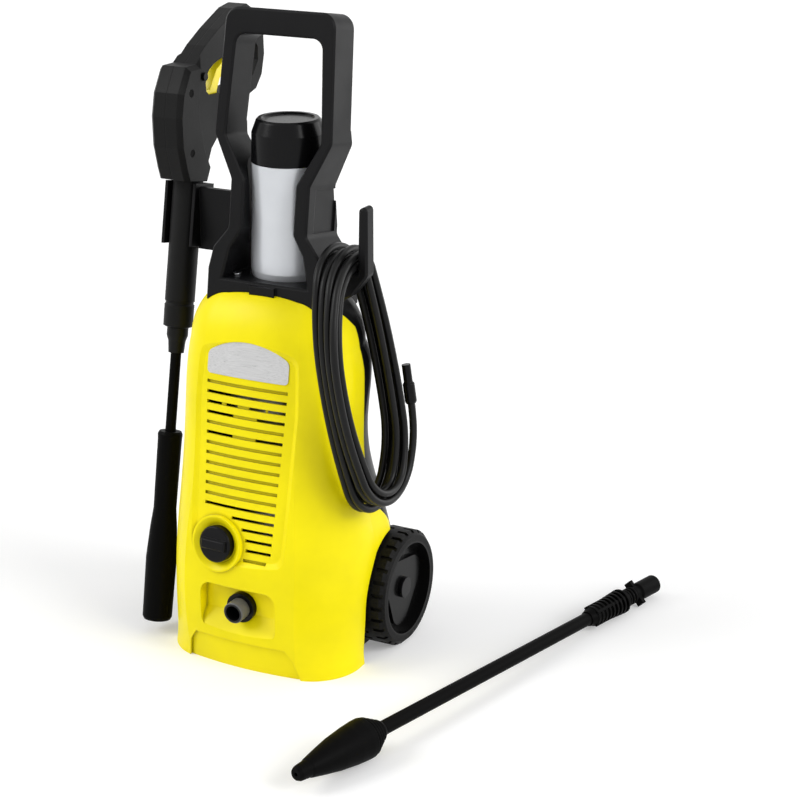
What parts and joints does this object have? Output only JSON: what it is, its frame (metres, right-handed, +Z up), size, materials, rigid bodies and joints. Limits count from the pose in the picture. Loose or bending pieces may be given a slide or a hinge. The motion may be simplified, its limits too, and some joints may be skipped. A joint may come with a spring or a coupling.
{
  "type": "pressure washer",
  "caption": "Upright electric pressure washer with a loop handle, wheels, detergent tank, hung hose, stowed trigger gun with lance, and a spare rotary lance.",
  "frame": {"origin": "on the floor under the machine, in its middle plane, on the flat underside of the base", "axes": "+Z up, front of the machine towards -Y, +X to the side with the hose"},
  "size_m": [0.4666, 0.5456, 0.6506],
  "materials": {
    "yellow_shell": "fine textured yellow moulding",
    "black_plastic": "fine textured black moulding",
    "grey_plastic": "satin grey moulding",
    "light_grey_plastic": "satin light grey moulding",
    "yellow_trigger": "smooth yellow moulding",
    "silver_plate": "brushed",
    "wheel_plastic": "matt black moulding",
    "hose_rubber": "satin black",
    "steel": "turned",
    "motor_metal": "plain",
    "pump_metal": "cast",
    "brass": "turned",
    "seal_rubber": "matt"
  },
  "bodies": {
    "machine": {"front_shell": "yellow_shell", "rear_shell": "black_plastic", "base_plate": "black_plastic", "handle_frame": "black_plastic", "hose_hook": "black_plastic", "gun_holder": "black_plastic", "rear_hook": "black_plastic", "outlet_ring": "black_plastic", "cable_gland": "black_plastic", "switch_body": "black_plastic", "pressure_switch": "black_plastic", "hose_fittings": "black_plastic", "axle_caps": "black_plastic", "rear_net_pocket": "black_plastic", "outlet_fitting": "light_grey_plastic", "inlet_fitting": "light_grey_plastic", "inlet_filter": "light_grey_plastic", "detergent_pipe": "light_grey_plastic", "badge_plate": "silver_plate", "hose_coil": "hose_rubber", "wheel_axle": "steel", "casing_screws": "steel", "handle_screws": "steel", "motor_bearings": "steel", "pump_pistons": "steel", "piston_springs": "steel", "check_valves": "steel", "motor_housing": "motor_metal", "motor_stator": "motor_metal", "capacitor": "motor_metal", "pump_housing": "pump_metal", "cylinder_head": "pump_metal", "outlet_pipe": "pump_metal", "piston_seals": "seal_rubber"},
    "left_wheel": {"left_wheel": "wheel_plastic"},
    "right_wheel": {"right_wheel": "wheel_plastic"},
    "knob": {"switch_knob": "black_plastic"},
    "rotor": {"motor_rotor": "steel", "motor_fan": "black_plastic", "swash_plate": "steel"},
    "tank": {"bottle": "grey_plastic", "bottle_valve": "grey_plastic"},
    "tank_lid": {"bottle_lid": "black_plastic"},
    "gun": {"gun_left_half": "black_plastic", "gun_right_half": "black_plastic", "trigger_pin": "steel", "valve_body": "brass", "trigger_spring": "steel", "gun_screws": "steel", "lance_barrel": "black_plastic", "lance_tube": "black_plastic", "spray_tip": "brass"},
    "trigger": {"trigger": "yellow_trigger"},
    "valve_rod": {"valve_rod": "steel"},
    "trigger_lock": {"trigger_lock": "black_plastic"},
    "nozzle": {"nozzle_sleeve": "black_plastic"},
    "floor_lance": {"blaster_head": "black_plastic", "blaster_tube": "black_plastic", "blaster_grip": "black_plastic"},
    "lance_rotor": {"blaster_rotor": "brass"}
  },
  "joints": [
    {"name": "left_wheel_roll", "type": "hinge", "parent": "machine", "child": "left_wheel", "pos_m": [-0.1055, 0.104, 0.0612], "axis": [1, 0, 0], "continuous": true},
    {"name": "right_wheel_roll", "type": "hinge", "parent": "machine", "child": "right_wheel", "pos_m": [0.1055, 0.104, 0.0612], "axis": [1, 0, 0], "continuous": true},
    {"name": "knob_turn", "type": "hinge", "parent": "machine", "child": "knob", "pos_m": [-0.024, -0.03131, 0.13552], "axis": [-0.0698, -0.9853, 0.1561], "range_deg": [-90, 0]},
    {"name": "motor_spin", "type": "hinge", "parent": "machine", "child": "rotor", "pos_m": [0, 0.048, 0.2], "axis": [0, 0, 1], "continuous": true},
    {"name": "tank_lift", "type": "slide", "parent": "machine", "child": "tank", "axis": [0, 0, 1], "range_m": [0, 0.06]},
    {"name": "lid_turn", "type": "hinge", "parent": "tank", "child": "tank_lid", "pos_m": [0, 0.085, 0.52], "axis": [0, 0, 1], "range_deg": [0, 90]},
    {"name": "gun_lift", "type": "slide", "parent": "machine", "child": "gun", "axis": [0, 0.1971, 0.9804], "range_m": [0, 0.1]},
    {"name": "trigger_pull", "type": "hinge", "parent": "gun", "child": "trigger", "pos_m": [-0.127, 0.14, 0.541], "axis": [1, 0, 0], "range_deg": [0, 8], "stiffness_Nm_per_rad": 2},
    {"name": "valve_rod_press", "type": "slide", "parent": "gun", "child": "valve_rod", "axis": [0, -0.1971, -0.9804], "range_m": [0, 0.0038]},
    {"name": "trigger_lock_push", "type": "slide", "parent": "gun", "child": "trigger_lock", "axis": [1, 0, 0], "range_m": [0, 0.004]},
    {"name": "nozzle_twist", "type": "hinge", "parent": "gun", "child": "nozzle", "pos_m": [-0.127, 0.02761, 0.11674], "axis": [0, 0.1971, 0.9804], "range_deg": [0, 120]},
    {"name": "floor_lance_lift", "type": "slide", "parent": "machine", "child": "floor_lance", "axis": [0, 0, 1], "range_m": [0, 0.3]},
    {"name": "lance_rotor_spin", "type": "hinge", "parent": "floor_lance", "child": "lance_rotor", "pos_m": [0.17, -0.215, 0.0216], "axis": [0.252, 0.9676, -0.0143], "continuous": true}
  ],
  "couplings": [
    {"joint": "valve_rod_press", "follows": "trigger_pull", "m_per_rad": 0.0265}
  ]
}
